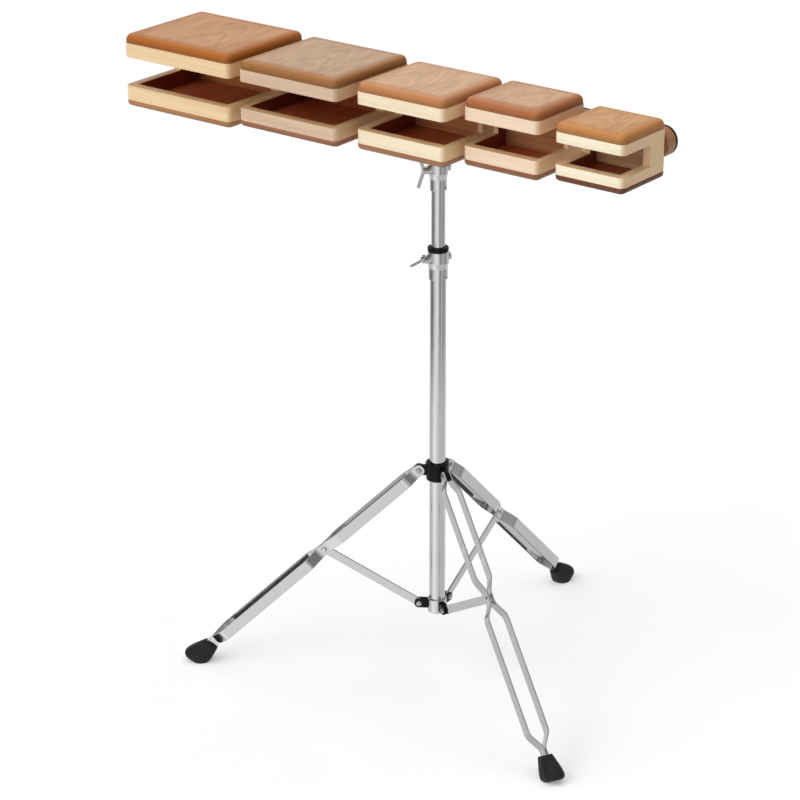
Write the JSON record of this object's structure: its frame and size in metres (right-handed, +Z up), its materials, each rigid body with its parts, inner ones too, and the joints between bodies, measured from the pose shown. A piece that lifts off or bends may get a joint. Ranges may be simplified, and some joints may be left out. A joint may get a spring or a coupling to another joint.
{
  "type": "temple blocks on a folding stand",
  "caption": "Graduated slotted wooden temple blocks on a rail, held by a telescopic chrome mast on a folding double-braced tripod with rubber feet.",
  "frame": {"origin": "on the floor, under the middle of the whole object's box", "axes": "+Z up along the mast, +X along the rail from the largest block to the smallest, +Y from the player's side to the back"},
  "size_m": [0.772, 0.5744, 0.9191],
  "materials": {
    "cherry": "clear satin lacquer on stained veneer",
    "maple": "clear satin lacquer on pale wood",
    "chrome": "bright plated",
    "bright_steel": "zinc plated",
    "black_paint": "satin black",
    "black_nylon": "moulded, slightly glossy",
    "black_rubber": "moulded rubber"
  },
  "bodies": {
    "base": {"base_tube": "chrome", "lower_clamp_body": "chrome", "lower_clamp_bush": "black_nylon", "lower_clamp_nut": "chrome", "brace_collar": "chrome", "back_brace_rivet": "bright_steel", "left_brace_rivet": "bright_steel", "right_brace_rivet": "bright_steel"},
    "lower_wing": {"lower_clamp_wing_bolt": "chrome"},
    "middle": {"middle_tube": "chrome", "upper_clamp_body": "chrome", "upper_clamp_bush": "black_nylon", "upper_clamp_nut": "chrome"},
    "upper_wing": {"upper_clamp_wing_bolt": "chrome"},
    "rod": {"top_rod": "chrome"},
    "rail": {"rail_board": "cherry", "rail_strip": "black_paint", "rail_bracket": "black_paint", "bracket_screw_left": "bright_steel", "bracket_screw_right": "bright_steel", "block_1_body": "maple", "block_1_top_plate": "cherry", "block_1_bottom_plate": "cherry", "block_1_bolt": "bright_steel", "block_2_body": "maple", "block_2_top_plate": "cherry", "block_2_bottom_plate": "cherry", "block_2_bolt": "bright_steel", "block_3_body": "maple", "block_3_top_plate": "cherry", "block_3_bottom_plate": "cherry", "block_3_bolt": "bright_steel", "block_4_body": "maple", "block_4_top_plate": "cherry", "block_4_bottom_plate": "cherry", "block_4_bolt": "bright_steel", "block_5_body": "maple", "block_5_top_plate": "cherry", "block_5_bottom_plate": "cherry", "block_5_bolt": "bright_steel"},
    "bracket_wing": {"bracket_wing_bolt": "chrome"},
    "collar": {"leg_collar": "black_nylon"},
    "thumb_screw": {"collar_thumb_screw": "chrome"},
    "back_leg": {"back_leg_strap_a": "chrome", "back_leg_strap_b": "chrome", "back_foot": "black_rubber", "back_leg_rivet": "bright_steel"},
    "left_leg": {"left_leg_strap_a": "chrome", "left_leg_strap_b": "chrome", "left_foot": "black_rubber", "left_leg_rivet": "bright_steel"},
    "right_leg": {"right_leg_strap_a": "chrome", "right_leg_strap_b": "chrome", "right_foot": "black_rubber", "right_leg_rivet": "bright_steel"},
    "back_brace_bar": {"back_brace": "chrome"},
    "left_brace_bar": {"left_brace": "chrome"},
    "right_brace_bar": {"right_brace": "chrome"}
  },
  "joints": [
    {"name": "mast_slide", "type": "slide", "parent": "base", "child": "middle", "axis": [0, 0, 1], "range_m": [-0.07, 0.25]},
    {"name": "rod_slide", "type": "slide", "parent": "middle", "child": "rod", "axis": [0, 0, 1], "range_m": [-0.03, 0.13]},
    {"name": "rail_swivel", "type": "hinge", "parent": "rod", "child": "rail", "pos_m": [0.0065, -0.07941, 0.8665], "axis": [0, 0, 1], "continuous": true},
    {"name": "lower_wing_turn", "type": "hinge", "parent": "base", "child": "lower_wing", "pos_m": [0.0065, -0.07941, 0.6295], "axis": [-0.4384, -0.8988, 0], "range_deg": [0, 360]},
    {"name": "upper_wing_turn", "type": "hinge", "parent": "middle", "child": "upper_wing", "pos_m": [0.0065, -0.07941, 0.756], "axis": [-0.4384, -0.8988, 0], "range_deg": [0, 360]},
    {"name": "bracket_wing_turn", "type": "hinge", "parent": "rail", "child": "bracket_wing", "pos_m": [0.0065, -0.07941, 0.8665], "axis": [0, 1, 0], "range_deg": [0, 360]},
    {"name": "collar_slide", "type": "slide", "parent": "base", "child": "collar", "axis": [0, 0, 1], "range_m": [0, 0.1346]},
    {"name": "thumb_screw_turn", "type": "hinge", "parent": "collar", "child": "thumb_screw", "pos_m": [0.0065, -0.07941, 0.3135], "axis": [-0.891, 0.454, 0], "range_deg": [0, 360]},
    {"name": "back_leg_fold", "type": "hinge", "parent": "collar", "child": "back_leg", "pos_m": [0.00514, -0.05345, 0.3135], "axis": [-0.9986, -0.0523, 0], "range_deg": [0, 44.52]},
    {"name": "left_leg_fold", "type": "hinge", "parent": "collar", "child": "left_leg", "pos_m": [-0.01531, -0.09358, 0.3135], "axis": [0.5446, -0.8387, 0], "range_deg": [0, 44.52]},
    {"name": "right_leg_fold", "type": "hinge", "parent": "collar", "child": "right_leg", "pos_m": [0.02967, -0.09122, 0.3135], "axis": [0.454, 0.891, 0], "range_deg": [0, 44.52]},
    {"name": "back_brace_fold", "type": "hinge", "parent": "base", "child": "back_brace_bar", "pos_m": [0.00514, -0.05345, 0.1055], "axis": [0.9986, 0.0523, 0], "range_deg": [0, 56.97]},
    {"name": "left_brace_fold", "type": "hinge", "parent": "base", "child": "left_brace_bar", "pos_m": [-0.01531, -0.09358, 0.1055], "axis": [-0.5446, 0.8387, 0], "range_deg": [0, 56.97]},
    {"name": "right_brace_fold", "type": "hinge", "parent": "base", "child": "right_brace_bar", "pos_m": [0.02967, -0.09122, 0.1055], "axis": [-0.454, -0.891, 0], "range_deg": [0, 56.97]}
  ],
  "couplings": [
    {"joint": "back_leg_fold", "follows": "collar_slide", "rad_per_m": 5.7706},
    {"joint": "left_leg_fold", "follows": "collar_slide", "rad_per_m": 5.7706},
    {"joint": "right_leg_fold", "follows": "collar_slide", "rad_per_m": 5.7706},
    {"joint": "back_brace_fold", "follows": "collar_slide", "rad_per_m": 7.3856},
    {"joint": "left_brace_fold", "follows": "collar_slide", "rad_per_m": 7.3856},
    {"joint": "right_brace_fold", "follows": "collar_slide", "rad_per_m": 7.3856}
  ]
}
